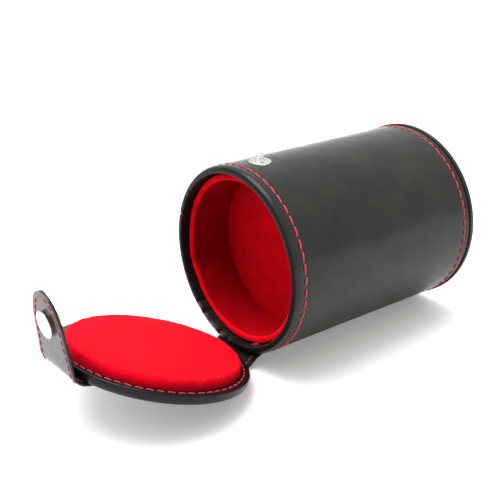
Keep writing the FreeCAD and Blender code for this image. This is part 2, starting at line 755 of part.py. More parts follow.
box = wholeBox()
print(f"{len(pieces)} pieces, box {box.XLength:.2f} x {box.YLength:.2f} x {box.ZLength:.2f}")
print(f"floor tilt {floorTilt():.3f} degrees")
print("mouth centre", cupPose.multVec(Vector(0, 0, 0)))
print("far rim centre", cupPose.multVec(Vector(value("cup_length"), 0, 0)))
print("lid fold axis", cupPose.multVec(hinge))
print("tab bend axis", lidPose.multVec(bendAxis))
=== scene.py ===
import json
import math
import random

import bmesh
import bpy
from mathutils import Matrix, Vector, noise


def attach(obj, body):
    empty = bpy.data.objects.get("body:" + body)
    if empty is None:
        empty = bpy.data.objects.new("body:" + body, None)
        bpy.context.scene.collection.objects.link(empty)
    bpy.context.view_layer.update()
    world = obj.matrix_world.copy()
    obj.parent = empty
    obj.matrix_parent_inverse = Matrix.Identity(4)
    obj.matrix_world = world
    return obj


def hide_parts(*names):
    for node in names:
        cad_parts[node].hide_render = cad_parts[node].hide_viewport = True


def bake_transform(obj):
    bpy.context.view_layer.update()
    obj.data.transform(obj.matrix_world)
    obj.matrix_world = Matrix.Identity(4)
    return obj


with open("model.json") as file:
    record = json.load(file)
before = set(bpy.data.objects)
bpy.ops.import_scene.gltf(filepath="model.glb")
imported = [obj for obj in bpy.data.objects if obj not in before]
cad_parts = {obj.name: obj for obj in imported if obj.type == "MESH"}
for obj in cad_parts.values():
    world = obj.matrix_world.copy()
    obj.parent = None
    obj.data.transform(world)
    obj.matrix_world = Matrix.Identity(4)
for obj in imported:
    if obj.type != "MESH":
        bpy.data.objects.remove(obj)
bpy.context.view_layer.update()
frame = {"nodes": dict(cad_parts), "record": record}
mm = 0.001

# The cup's own frame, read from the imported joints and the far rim's face:
# X runs along the cup from the mouth of the dice store, Z is up through the snap.
cup = {
    "length": 105.0,
    "radius": 40.0,
    "lipInner": 36.7,       # inside of the folded-in leather
    "lipRound": 1.3,
    "mouthRound": 2.1,      # softer roll of the mouth's own lip
    "lipInnerRound": 0.6,
    "turnDepth": 7.0,
    "rimRaise": 0.6,        # bead round the far rim, and the crease before it
    "rimRound": 0.35,
    "creaseInset": 2.6,
    "creaseDepth": 0.55,
    "mouthStitch": 5.2,     # stitch line from the mouth
    "farStitch": 6.1,       # stitch line from the far rim
    "studOffset": 14.5,
}
record = frame["record"]
joints = {joint["name"]: joint for joint in record["behaviour"]["joints"]}
rimMount = record["mounts"][0]
cupAxis = Vector(rimMount["axis"]).normalized()
acrossAxis = Vector((0, 1, 0))
upAxis = cupAxis.cross(acrossAxis)
farCentre = Vector((rimMount["pos_m"][0], 0, rimMount["pos_m"][2]))
mouthCentre = farCentre - cupAxis * cup["length"] * mm
axes = Matrix((cupAxis, acrossAxis, upAxis)).transposed().to_4x4()
cupFrame = Matrix.Translation(mouthCentre) @ axes @ Matrix.Scale(mm, 4)


def turnedFrame(base, joint):
    # a part drawn closed, turned back about its joint to where it rests
    centre = Matrix.Translation(Vector(joint["pos_m"]))
    angle = -math.radians(joint["range_deg"][1])
    return centre @ Matrix.Rotation(angle, 4, Vector(joint["axis"])) @ centre.inverted() @ base


lidFrame = turnedFrame(cupFrame, joints["lid_hinge"])
# the tab's axis is given at rest, so it is already where the resting lid holds it
tabFrame = turnedFrame(lidFrame, joints["tab_flex"])
hingePoint = cupFrame.inverted() @ Vector(joints["lid_hinge"]["pos_m"])
bendPoint = lidFrame.inverted() @ Vector(joints["tab_flex"]["pos_m"])
lidOpen = joints["lid_hinge"]["range_deg"][1]
tabLean = joints["tab_flex"]["range_deg"][1]
print("frames ready")


# Mesh helpers


def addObject(name, data):
    obj = bpy.data.objects.new(name, data)
    bpy.context.collection.objects.link(obj)
    return obj


def addMesh(name, points, faces, place, angle=40):
    mesh = bpy.data.meshes.new(name)
    mesh.from_pydata([place @ Vector(point) for point in points], [], faces)
    mesh.validate()
    mesh.update()
    mesh.shade_smooth()
    mesh.set_sharp_from_angle(angle=math.radians(angle))
    return addObject(name, mesh)


def ringFaces(here, there, size, closed=True):
    # quads between two rings of points, given by the number of each one's first point
    return [(here + index, here + (index + 1) % size, there + (index + 1) % size, there + index)
            for index in range(size if closed else size - 1)]


def roundCorners(corners, steps=6, closed=True):
    # outline through (a, b) or (a, b, radius) corners, arcs cut into short chords
    count = len(corners)
    points = []
    for index, corner in enumerate(corners):
        here = Vector(corner[:2])
        inside = closed or 0 < index < count - 1
        if len(corner) < 3 or not inside:
            points.append(here)
            continue
        back = (Vector(corners[index - 1][:2]) - here).normalized()
        ahead = (Vector(corners[(index + 1) % count][:2]) - here).normalized()
        half = back.angle(ahead) / 2
        centre = here + (back + ahead).normalized() * corner[2] / math.sin(half)
        first = here + back * corner[2] / math.tan(half) - centre
        last = here + ahead * corner[2] / math.tan(half) - centre
        sweep = first.angle_signed(last)
        for step in range(steps + 1):
            turn = Matrix.Rotation(-sweep * step / steps, 2)
            points.append(centre + turn @ first)
    return points


def latheMesh(name, profile, place, segments=128, shape=None, closed=True, axis="X", angle=40):
    # turns (along, radius) points about X or Z; shape may move each ring point
    points = []
    for step in range(segments):
        turn = 2 * math.pi * step / segments
        for along, radius in profile:
            a, r = shape(along, radius, turn) if shape else (along, radius)
            if axis == "X":
                points.append((a, r * math.sin(turn), r * math.cos(turn)))
            else:
                points.append((r * math.cos(turn), r * math.sin(turn), a))
    size = len(profile)
    faces = []
    for step in range(segments):
        faces += ringFaces(step * size, (step + 1) % segments * size, size, closed)
    if axis == "Z":
        faces = [face[::-1] for face in faces]
    obj = addMesh(name, points, faces, place, angle=angle)
    cleanMesh(obj)
    return obj


def cleanMesh(obj):
    # merges the points on an axis and turns every face outwards
    mesh = bmesh.new()
    mesh.from_mesh(obj.data)
    bmesh.ops.remove_doubles(mesh, verts=mesh.verts, dist=1e-7)
    bmesh.ops.recalc_face_normals(mesh, faces=mesh.faces)
    mesh.to_mesh(obj.data)
    mesh.free()


def easeInOut(share):
    share = min(max(share, 0.0), 1.0)
    return share * share * (3 - 2 * share)


def spread(start, end, count):
    return [start + (end - start) * step / (count - 1) for step in range(count)]


# Material helpers


def newMaterial(name, base, roughness):
    material = bpy.data.materials.new(name)
    material.use_nodes = True
    shader = material.node_tree.nodes["Principled BSDF"]
    setSockets(shader, {"Base Color": (*base, 1), "Roughness": roughness})
    return material, material.node_tree, shader


def setSockets(node, values):
    for name, value in values.items():
        node.inputs[name].default_value = value


def objectPoints(tree, stretch=(1, 1, 1), turn=0.0):
    # the mesh's own points in millimetres, turned level with the cup if asked
    source = tree.nodes.new("ShaderNodeTexCoord")
    mapping = tree.nodes.new("ShaderNodeMapping")
    setSockets(mapping, {"Rotation": (0, turn, 0), "Scale": [1000 * part for part in stretch]})
    tree.links.new(source.outputs["Object"], mapping.inputs["Vector"])
    return mapping.outputs["Vector"]


def noiseNode(tree, points, scale, detail=3, roughness=0.5):
    node = tree.nodes.new("ShaderNodeTexNoise")
    setSockets(node, {"Scale": scale, "Detail": detail, "Roughness": roughness})
    tree.links.new(points, node.inputs["Vector"])
    return node.outputs["Fac"]


def mathNode(tree, operation, *values):
    # each value is a socket to link, or a number
    node = tree.nodes.new("ShaderNodeMath")
    node.operation = operation
    for socket, value in zip(node.inputs, values):
        if isinstance(value, float):
            socket.default_value = value
        else:
            tree.links.new(value, socket)
    return node.outputs[0]


def dotNode(tree, points, direction):
    node = tree.nodes.new("ShaderNodeVectorMath")
    node.operation = "DOT_PRODUCT"
    node.inputs[1].default_value = direction
    tree.links.new(points, node.inputs[0])
    return node.outputs["Value"]


def rampNode(tree, value, stops):
    node = tree.nodes.new("ShaderNodeValToRGB")
    ramp = node.color_ramp
    while len(ramp.elements) < len(stops):
        ramp.elements.new(0.5)
    for element, (place, colour) in zip(ramp.elements, stops):
        element.position = place
        element.color = (*colour, 1)
    tree.links.new(value, node.inputs["Fac"])
    return node.outputs["Color"]


def tint(tree, shader, value, stops):
    tree.links.new(rampNode(tree, value, stops), shader.inputs["Base Color"])


def rangeNode(tree, value, low, high, fromLow=0.3, fromHigh=0.7):
    node = tree.nodes.new("ShaderNodeMapRange")
    setSockets(node, {"From Min": fromLow, "From Max": fromHigh, "To Min": low, "To Max": high})
    tree.links.new(value, node.inputs["Value"])
    return node.outputs["Result"]


def bumpNode(tree, height, distance, strength=1.0, before=None):
    node = tree.nodes.new("ShaderNodeBump")
    setSockets(node, {"Distance": distance * mm, "Strength": strength})
    tree.links.new(height, node.inputs["Height"])
    if before is not None:
        tree.links.new(before, node.inputs["Normal"])
    return node.outputs["Normal"]


leather = {
    "dark": (0.0078, 0.0077, 0.0072),
    "light": (0.0180, 0.0172, 0.0130),
    "roughness": (0.19, 0.28),
    "grain": 2.2,          # fine grain, noise waves per millimetre
    "grainDepth": 0.012,
    "streakDepth": 0.04,   # faint rings left by stretching the hide round the tube
}


def makeLeather(name, settings, streaks=0.0, coat=0.08, gloss=0.31):
    material, tree, shader = newMaterial(name, settings["dark"], settings["roughness"][0])
    tilt = math.atan2(-cupAxis.z, cupAxis.x)
    points = objectPoints(tree, turn=-tilt)
    grain = noiseNode(tree, points, settings["grain"], 5, 0.6)
    cloud = noiseNode(tree, points, 0.05, 4, 0.6)
    tint(tree, shader, cloud, ((0.35, settings["dark"]), (0.75, settings["light"])))
    tree.links.new(rangeNode(tree, noiseNode(tree, points, 0.22, 4, 0.65),
                             *settings["roughness"]), shader.inputs["Roughness"])
    normal = bumpNode(tree, grain, settings["grainDepth"])
    normal = bumpNode(tree, noiseNode(tree, points, 0.12, 2), 0.25, 1.0, normal)
    if streaks:
        rings = noiseNode(tree, objectPoints(tree, (1, 0.03, 0.03), -tilt), 0.9, 3, 0.6)
        normal = bumpNode(tree, rings, settings["streakDepth"] * streaks, 1.0, normal)
    tree.links.new(normal, shader.inputs["Normal"])
    setSockets(shader, {"Specular IOR Level": gloss, "Coat Weight": coat,
                        "Coat Roughness": 0.18})
    return material


def distanceNode(tree, direction, origin):
    # how far a point of the mesh lies from the origin, along a direction
    source = tree.nodes.new("ShaderNodeTexCoord")
    along = dotNode(tree, source.outputs["Object"], direction)
    return mathNode(tree, "SUBTRACT", along, origin.dot(direction))


def paintedSleeveLight(tree, value):
    # painted highlight: a paler band where the sleeve rolls over at its two ends;
    # painted light and shade: paler toward the lower wall and the -Y side, darker on the upper
    # side
    middle = (mouthCentre + farCentre) / 2
    size = mathNode(tree, "ABSOLUTE", distanceNode(tree, cupAxis, middle))
    half = cup["length"] / 2
    # painted highlight on the rolled ends
    edge = rangeNode(tree, size, 0, 0.5, (half - 5.1) * mm, (half - 4.1) * mm)
    # painted light on the lower wall, painted shade on the upper side
    litDirection = (upAxis * -0.85 + acrossAxis * -0.53).normalized()
    low = rangeNode(tree, distanceNode(tree, litDirection, middle), 0, 0.36, -0.012, 0.030)
    return mathNode(tree, "MULTIPLY_ADD", value, velvet["napShare"],
                    mathNode(tree, "MULTIPLY_ADD", low, 1.0, edge))


def paintedPadShade(tree, value):
    # painted shade: the pad is coloured darker down its side than on its top
    foot, top = lidFrame @ Vector((-0.6, 0, 0)), lidFrame @ Vector((2.9, 0, 0))
    height = rangeNode(tree, distanceNode(tree, (top - foot).normalized(), foot), 0, 0.62,
                       0.0, (top - foot).length)
    return mathNode(tree, "MULTIPLY_ADD", value, velvet["padShare"], height)


velvet = {
    "sheen": (1.0, 0.05, 0.07),
    "pile": 3.2,            # tufts, noise waves per millimetre
    "pileDepth": 0.06,
    "napShare": 0.28,       # of nap and tufts, beside the painted light and shade
    "padShare": 0.3,
}


def makeVelvet(name, settings, sheen, shade=None):
    material, tree, shader = newMaterial(name, settings["deep"], 0.92)
    points = objectPoints(tree)
    nap = noiseNode(tree, points, 0.16, 4, 0.7)
    pile = noiseNode(tree, points, settings["pile"], 3, 0.7)
    value = mathNode(tree, "ADD", rangeNode(tree, nap, 0, 0.75), rangeNode(tree, pile, 0, 0.25))
    stops = ((0.1, settings["deep"]), (0.9, settings["bright"]))
    # a shade function adds painted light and shade on top of the nap's tones
    if shade:
        value = shade(tree, value)
        stops = ((0.14, settings["deep"]), (0.55, settings["middle"]), (0.95, settings["bright"]))
    tint(tree, shader, value, stops)
    normal = bumpNode(tree, pile, settings["pileDepth"], 0.8)
    normal = bumpNode(tree, nap, 0.3, 0.6, normal)
    tree.links.new(normal, shader.inputs["Normal"])
    setSockets(shader, {"Specular IOR Level": 0.04, "Sheen Weight": sheen,
                        "Sheen Roughness": 0.45, "Sheen Tint": (*settings["sheen"], 1)})
    return material


nickel = {"light": (0.78, 0.77, 0.75), "dull": (0.60, 0.59, 0.57)}


def makeMetal(name, settings):
    material, tree, shader = newMaterial(name, settings["light"], 0.2)
    points = objectPoints(tree)
    smear = noiseNode(tree, points, 0.5, 4, 0.6)
    tint(tree, shader, smear, ((0.3, settings["dull"]), (0.6, settings["light"])))
    tree.links.new(rangeNode(tree, smear, 0.13, 0.3), shader.inputs["Roughness"])
    scratches = noiseNode(tree, points, 6, 2)
    tree.links.new(bumpNode(tree, scratches, 0.004), shader.inputs["Normal"])
    shader.inputs["Metallic"].default_value = 1.0
    return material


# two tones in specks: noise waves per millimetre, detail and roughness of that noise
thread = {"dark": (0.36, 0.008, 0.022), "light": (0.68, 0.045, 0.085),
          "speck": (2.4, 3, 0.6), "roughness": 0.65, "sheen": 0.2}
board = {"dark": (0.30, 0.27, 0.23), "light": (0.46, 0.42, 0.36),
         "speck": (0.8, 6, 0.7), "roughness": 0.9, "sheen": 0.0}
foam = dict(board, dark=(0.55, 0.52, 0.45), light=(0.75, 0.72, 0.65), speck=(2.0, 6, 0.7))


def makeSpeckled(name, settings):
    material, tree, shader = newMaterial(name, settings["light"], settings["roughness"])
    speck = noiseNode(tree, objectPoints(tree), *settings["speck"])
    tint(tree, shader, speck, ((0.35, settings["dark"]), (0.65, settings["light"])))
    tree.links.new(bumpNode(tree, speck, 0.08), shader.inputs["Normal"])
    shader.inputs["Sheen Weight"].default_value = settings["sheen"]
    return material


wrapHide = dict(leather, dark=(0.0150, 0.0149, 0.0138), light=(0.0275, 0.0266, 0.0205))
# the lid's leather, a darker, bluish copy of the cup's: painted shade and a painted bluish
# reflection
shadedLidHide = dict(leather, dark=(0.0042, 0.0045, 0.0066), light=(0.0085, 0.0088, 0.0115))
strapHide = dict(leather, roughness=(0.26, 0.36))
# the wrap's leather where it turns over the lip and in: a darker, duller copy, painted shade
shadedFoldHide = dict(strapHide, light=(0.0110, 0.0112, 0.0125))
liningHide = dict(leather, roughness=(0.55, 0.7))
# the sleeve's deep tone is reached on its shaded upper side, and its bright tone only in the
# painted highlight at the rolled ends
linerPile = dict(velvet, deep=(0.20, 0.0003, 0.004), middle=(0.44, 0.0006, 0.006),
                 bright=(0.84, 0.002, 0.012))
floorPile = dict(velvet, deep=(0.34, 0.0004, 0.005), bright=(0.50, 0.001, 0.008))
# from deep on the side to bright on top, these tones carry the pad's painted shade
padPile = dict(velvet, deep=(0.40, 0.001, 0.008), middle=(0.76, 0.002, 0.012),
               bright=(0.88, 0.004, 0.015))
materials = {
    "wrap": makeLeather("wrapLeather", wrapHide, streaks=1.0, gloss=0.22),
    "lid": makeLeather("shadedLidLeather", shadedLidHide, gloss=0.18),
    "strap": makeLeather("strapLeather", strapHide, coat=0.42),
    "fold": makeLeather("shadedFoldLeather", shadedFoldHide, coat=0.0, gloss=0.12),
    "lining": makeLeather("strapLining", liningHide, coat=0.0, gloss=0.12),
    "liner": makeVelvet("linerVelvet", linerPile, 0.1, paintedSleeveLight),
    "floor": makeVelvet("floorVelvet", floorPile, 0.08),
    "pad": makeVelvet("padVelvet", padPile, 0.14, paintedPadShade),
    "thread": makeSpeckled("redThread", thread),
    "metal": makeMetal("nickelPlate", nickel),
    "board": makeSpeckled("greyBoard", board),
    "foam": makeSpeckled("paleFoam", foam),
}
slotMaterials = {"black_leather": "wrap", "black_lining": "lining", "red_velvet": "liner",
                 "grey_card": "board", "foam": "foam", "nickel_steel": "metal"}
for part in record["subparts"]:
    node = frame["nodes"][part["node"]]
    node.data.materials.clear()
    node.data.materials.append(materials[slotMaterials[part["material_slot"]]])
print("materials ready:", len(materials))


def finishPiece(obj, material, body=None, replaced=()):
    obj.data.materials.append(materials[material])
    if body:
        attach(obj, body)
    if replaced:
        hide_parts(*replaced)
    return obj


# Wrap: one hide round the tube, folded in over both rims
wrap = {
    "segments": 600,
    "wave": 0.10,          # slow unevenness of the wall
    "stitchDip": 0.30,     # how far the stitching pulls the leather down
    "lipSlope": 0.12,      # the lip is rounded over towards the mouth
    "seatRadius": 4.8,     # flat under the snap
    # a crease across the lip, left of the mouth: place, width, depth and forward push
    "notch": (math.radians(75), 0.014, 0.45, 0.4),
    "dipWidth": 0.95,      # of the furrow that a stitch line leaves
    "back": 39.05,         # the wall's inner face
    # share of a gather's depth that moves the leather, and the most that it moves in
    "gatherForward": 0.75, "gatherInward": 0.5, "gatherMost": 0.75,
    # gathers where the leather turns in: place and width in degrees round the cup, depth
    "pinches": ((24, 1.2, 0.3), (52, 1.3, 0.35), (96, 1.3, 0.4), (118, 1.2, 0.5), (130, 1.4, 0.45),
                (138.5, 1.3, 1.0), (146.5, 1.3, 1.9), (155, 2.2, 0.5), (165.5, 1.5, 1.9),
                (174.5, 1.2, 1.2), (232, 1.4, 0.3), (301, 1.4, 0.3)),
    # lumps of leather pushed up between the deepest gathers, and the stretch round the cup where
    # the turned-in leather keeps the lighter wrap leather, free of the painted shade, so that it
    # catches the light
    "lumps": ((142.5, 2.4, 0.6), (151.5, 3.4, 0.65), (159.5, 3.4, 0.65), (170, 2.8, 0.65)),
    "litGathers": (138, 178),
}
# stitch lines round the cup: name, place along it, pitch, seed
stitchLines = (("mouthStitches", cup["mouthStitch"], 4.9, 3),
               ("farStitches", cup["length"] - cup["farStitch"], 4.4, 5))


def pinchDepth(turn):
    depth = 0.0
    for place, width, size in wrap["pinches"]:
        off = (math.degrees(turn) - place) / width
        depth += size * (math.exp(-off * off) - 0.42 * math.exp(-off * off / 7))
    return depth


def bellSum(rows, turn):
    # smooth bumps: place and width in degrees round the cup, height
    here = math.degrees(turn)
    return sum(size * math.exp(-((here - place) / width) ** 2) for place, width, size in rows)


def stitchCount(pitch):
    return round(2 * math.pi * cup["radius"] / pitch)


def wrapShape(along, radius, turn):
    edge = min(along, cup["length"] - along)
    atMouth, wall = along < cup["length"] / 2, cup["radius"]
    if along < 3:
        place, width, depth, push = wrap["notch"]
        notch = math.exp(-((turn - place) / width) ** 2)
        radius -= depth * notch if radius > wall - 1.5 else 0
        along += push * notch if radius < wall - 0.5 else 0
    direction = Vector((along * 0.03, math.sin(turn) * 1.3, math.cos(turn) * 1.3))
    if radius > wall - 0.9:
        wave = noise.noise(direction) * wrap["wave"]
        dip = wrap["lipSlope"] * (1 - easeInOut(along / 3.2))
        for _, line, pitch, _ in stitchLines:
            near = math.exp(-((along - line) / wrap["dipWidth"]) ** 2)
            holes = 0.6 + 0.4 * math.cos(stitchCount(pitch) * turn)
            dip += near * holes * wrap["stitchDip"]
        radius += wave - dip
        beyond = along > cup["length"] - cup["creaseInset"] - 0.1
        bottom = wall + (cup["rimRaise"] if beyond else 0.02)
        side = radius * math.sin(turn)
        beside = (along - cup["studOffset"]) ** 2 + side ** 2
        if math.cos(turn) > 0 and beside < wrap["seatRadius"] ** 2:
            flat = math.sqrt(wall ** 2 - snap["flange"] ** 2)
            radius = min(radius, flat / math.cos(turn))
        return along, min(radius, bottom)
    # the front of the lip and the folded-in side behind it
    if edge > 10:
        return along, radius
    ripple = noise.noise(direction * 5) * 0.16
    reach = easeInOut((wall - 0.8 - radius) / 1.8)
    pinch = pinchDepth(turn) if atMouth else 0.5 * ripple
    inward = 1 if atMouth else -1
    front = 1 - easeInOut(edge / 1.5)
    along += inward * (pinch * wrap["gatherForward"] + ripple * 0.4) * reach * front
    gather = max(pinch * wrap["gatherInward"], -0.35) - abs(ripple) * 0.4
    radius += min(gather, wrap["gatherMost"]) * reach * (1 - front * 0.4)
    if atMouth:
        lump = bellSum(wrap["lumps"], turn) * (1 - easeInOut((edge - 1.8) / 1.4))
        along -= lump * 0.35 * front * reach
        radius -= lump * reach
    return along, radius


def wrapProfile():
    length, radius, turned = cup["length"], cup["radius"], cup["turnDepth"]
    crease = length - cup["creaseInset"]
    depth, bead = cup["creaseDepth"], radius + cup["rimRaise"] - 0.05
    corners = [
        (0, cup["lipInner"], cup["lipInnerRound"]),
        (0, radius, cup["mouthRound"]),
        (crease - depth, radius, 0.4),
        (crease, radius - depth, 0.08),
        (crease, bead, cup["rimRound"]),
        (length, bead, cup["lipRound"]),
        (length, cup["lipInner"], cup["lipInnerRound"]),
        (length - turned, cup["lipInner"]),
        (length - turned, cup["lipInner"] + 0.7),
        (length - turned - 1.5, wrap["back"]),
        (turned + 1.5, wrap["back"]),
        (turned, cup["lipInner"] + 0.7),
        (turned, cup["lipInner"]),
    ]
    points = roundCorners(corners, 8)
    # more rings where stitches pull the leather in, along the wall and on the folds
    wall = (spread(1.6, 8, 22) + spread(9, 18, 24) + spread(22, 92, 15)
            + spread(95, length - 3.6, 20))
    fold = spread(1.0, 6, 10)
    fold += [length - step for step in fold]
    front = spread(radius - 3, radius - 1.6, 5)
    dense = []
    for point, after in zip(points, points[1:] + points[:1]):
        dense.append(point)
        span = after - point
        level = abs(span.y) < 1e-6 and abs(span.x) >= 2
        if abs(span.x) < 1e-6 and min(point.x, length - point.x) < 1e-3:
            way, steps = 1, front
        elif level and point.y > radius - 0.1:
            way, steps = 0, wall
        elif level and abs(point.y - cup["lipInner"]) < 0.01:
            way, steps = 0, fold
        else:
            continue
        low, high = sorted((point[way], after[way]))
        inner = sorted(step for step in steps if low + 0.05 < step < high - 0.05)
        for step in inner if span[way] > 0 else reversed(inner):
            spot = point.copy()
            spot[way] = step
            dense.append(spot)
    return dense


def makeWrap():
    obj = latheMesh("wrap", wrapProfile(), cupFrame, wrap["segments"], wrapShape, angle=50)
    finishPiece(obj, "wrap", "cup", ["outer_wrap"])
    # the lip's front and the turned-in side behind it take the darker fold leather as painted
    # shade, except across the lit gathers
    obj.data.materials.append(materials["fold"])
    inverse = cupFrame.inverted()
    low, high = wrap["litGathers"]
    for polygon in obj.data.polygons:
        x, y, z = inverse @ polygon.center
        edge = min(x, cup["length"] - x)
        turn = math.degrees(math.atan2(y, z)) % 360
        takesShade = edge < 0.5 or (edge < 8 and math.hypot(y, z) < cup["radius"] - 1.1)
        if x < cup["length"] / 2 and low < turn < high:
            takesShade = False
        polygon.material_index = int(takesShade)


# Stitches: short lengths of twisted thread that dip into the leather at both ends
stitch = {"thread": 0.40, "rise": 0.10, "sink": 0.50, "sides": 8, "rings": 11}


def stitchMesh(name, spots, body, place, size=1.0):
    # spots: (centre, along, up, length) in the given frame, in millimetres
    points, faces = [], []
    rings, sides, sink = stitch["rings"], stitch["sides"], stitch["sink"]
    for centre, along, up, length in spots:
        side = along.cross(up).normalized()
        start = len(points)
        for ring in range(rings):
            share = ring / (rings - 1) * 2 - 1
            drop = abs(share) ** 4
            lift = ((stitch["rise"] + sink) * (1 - drop) - sink) * size
            thick = stitch["thread"] * size * (1 - 0.4 * drop)
            middle = centre + along * (share * length / 2) + up * lift
            for step in range(sides):
                turn = 2 * math.pi * step / sides
                points.append(middle + side * math.cos(turn) * thick + up * math.sin(turn) * thick)
        for ring in range(rings - 1):
            here = start + ring * sides
            there = here + sides
            for step in range(sides):
                after = (step + 1) % sides
                faces.append((here + step, there + step, there + after, here + after))
    obj = addMesh(name, points, faces, place, angle=80)
    return finishPiece(obj, "thread", body)


def ringSpots(along, radius, count, length, face, jitter, seed):
    # stitches round the cup's axis; face is +1 on a wall, or 0 on a flat disc
    random.seed(seed)
    spots = []
    for index in range(count):
        turn = 2 * math.pi * (index + random.uniform(-jitter, jitter)) / count
        out = Vector((0, math.sin(turn), math.cos(turn)))
        forward = Vector((random.uniform(0.04, 0.12), math.cos(turn), -math.sin(turn)))
        centre = Vector((along, 0, 0)) + out * radius
        up = out if face else Vector((1, 0, 0))
        spots.append((centre, forward.normalized(), up, length * random.uniform(0.92, 1.05)))
    return spots


def makeCupStitches():
    for name, along, pitch, seed in stitchLines:
        spots = ringSpots(along, cup["radius"] - 0.14, stitchCount(pitch), pitch * 0.97, 1,
                          0.03, seed)
        stitchMesh(name, spots, "cup", cupFrame)


# Velvet linings: a sleeve with a soft rolled top, and a floor disc
liner = {
    "outer": 36.2, "inner": 33.4, "recess": 3.6, "roll": 0.95,
    "storeDepth": 23.4, "cupFloor": 32.4, "seam": math.radians(109),
    "backing": 34.5,        # the card behind the velvet
    # places and widths in degrees round the cup, depths
    "dents": ((86, 10, 0.5), (124, 7, 0.5), (58, 14, 0.3), (146, 7, 0.3)),
    "thin": ((143, 24, 0.8),),
    "raised": ((107, 8, 0.9),),
    "ripple": (0.34, 0.16),            # long and short waves of the velvet
    "seamWidth": 0.026, "seamDepth": 0.75,
    "floor": 33.6,                     # radius of both floor discs
}
fibres = {"count": 16, "turn": 201, "spread": 1.9}   # loose ones, place in degrees


def linerShape(top, direction):
    def shape(along, radius, turn):
        place = Vector((along * 0.05, math.sin(turn) * 2.1, math.cos(turn) * 2.1))
        long, short = liner["ripple"]
        ripple = noise.noise(place) * long + noise.noise(place * 3.1) * short
        off = turn - liner["seam"]
        seam = math.exp(-(off / liner["seamWidth"]) ** 2) * liner["seamDepth"]
        ripple += 0.35 * math.exp(-(off / 0.25) ** 2) * math.cos(off * 9)
        depth = abs(along - top)
        if radius < liner["outer"] - 0.8:
            radius += ripple + bellSum(liner["thin"], turn) * (1 - easeInOut(depth / 12))
            radius = min(radius + seam * (1 - easeInOut((depth - 15) / 4)), liner["backing"])
        radius -= bellSum(liner["dents"], turn) * max(0, 1 - depth / 7)
        near = max(0, 1 - depth / 3)
        lift = seam * 0.5 + ripple * 0.8 - bellSum(liner["raised"], turn)
        return along + direction * near * lift, radius
    return shape


def makeLiner(name, top, floor, nodes):
    direction = 1 if floor > top else -1
    inner, outer, roll = liner["inner"], liner["outer"], liner["roll"]
    points = roundCorners([(floor, inner), (top, inner, roll), (top, outer, roll), (floor, outer)],
                          8)
    steps = spread(top + direction * 1.6, floor - direction * 0.5, 14)
    points[1:1] = [Vector((step, inner)) for step in reversed(steps)]
    obj = latheMesh(name, points, cupFrame, 320, linerShape(top, direction), angle=60)
    finishPiece(obj, "liner", "cup", nodes)


def makeFloor(name, along, direction, nodes):
    # slightly domed velvet disc, its edge tucked against the sleeve
    profile, edge = [], liner["floor"]
    for radius in [0] + spread(2, 31, 16) + [32, 32.8, 33.3, edge]:
        share = radius / edge
        crown = 0.35 * (1 - share ** 2) - 0.35 * max(0, share - 0.96) * 20
        profile.append(Vector((along - direction * crown, radius)))
    profile += [Vector((along + direction * 0.8, radius)) for radius in (edge, 0)]

    def shape(a, r, turn):
        place = Vector((a, r * math.cos(turn) * 0.09, r * math.sin(turn) * 0.09))
        return a - direction * 0.12 * noise.noise(place), r

    obj = latheMesh(name, profile, cupFrame, 160, shape, angle=60)
    finishPiece(obj, "floor", "cup", nodes)


def makeFibres():
    # a few loose velvet fibres between lip and liner, low in the mouth
    random.seed(17)
    spots = []
    for _ in range(fibres["count"]):
        turn = math.radians(random.gauss(fibres["turn"], fibres["spread"]))
        out = Vector((0, math.sin(turn), math.cos(turn)))
        across = Vector((0, math.cos(turn), -math.sin(turn)))
        along = across + Vector((random.uniform(-1, 1), 0, 0)) + out * random.uniform(-0.6, 0.6)
        centre = Vector((random.uniform(1.4, 3.4), 0, 0)) + out * random.uniform(35.9, 36.5)
        spots.append((centre, along.normalized(), -out, random.uniform(1.2, 2.4)))
    stitchMesh("linerFibres", spots, "cup", cupFrame, 0.2)


def makeLinings():
    makeLiner("storeLiner", liner["recess"], liner["storeDepth"] + 0.8, ["store_liner_velvet"])
    makeLiner("cupLiner", cup["length"] - liner["recess"], liner["cupFloor"] - 0.8,
              ["cup_liner_velvet"])
    makeFloor("storeFloor", liner["storeDepth"], 1, ["store_floor_velvet"])
    makeFloor("cupFloor", liner["cupFloor"], -1, ["cup_floor_velvet"])
    makeFibres()


# Lid: cover, stitched ring and padded velvet disc, drawn closed over the mouth
lid = {
    "radius": 40.0, "inner": -1.2, "outer": -5.5, "round": 2.3, "innerRound": 0.7,
    "stitchRadius": 37.4, "stitchCount": 59, "stitchLength": 3.7,
    "padFoot": 35.5, "padTop": 34.4, "padHeight": 4.5, "padRound": 1.5,
    "padStretch": 1.027,   # drawn a little longer along the strap
    "padLimit": 35.9,      # what the mouth takes in when the lid is closed
    "recess": 33.6,        # radius of the recess that the pad covers
}
# cloth that blows the pad up for some frames, never moving a point further than swell
padCloth = {"use_pressure": True, "uniform_pressure_force": 4.0, "vertex_group_mass": "held",
            "tension_stiffness": 40, "compression_stiffness": 40, "bending_stiffness": 4,
            "quality": 6}
padFrames, padSwell = 15, 0.35


def lidShape(along, radius, turn):
    place = Vector((along * 0.1, math.sin(turn) * 1.7, math.cos(turn) * 1.7))
    if radius > 34 and along > lid["inner"] - 1.2:
        dip = math.exp(-((radius - lid["stitchRadius"]) / 0.7) ** 2)
        holes = 0.6 + 0.4 * math.cos(lid["stitchCount"] * turn)
        along -= dip * holes * 0.16
    if radius > 38:
        radius += noise.noise(place * 2) * 0.07 - 0.05
    return along, radius


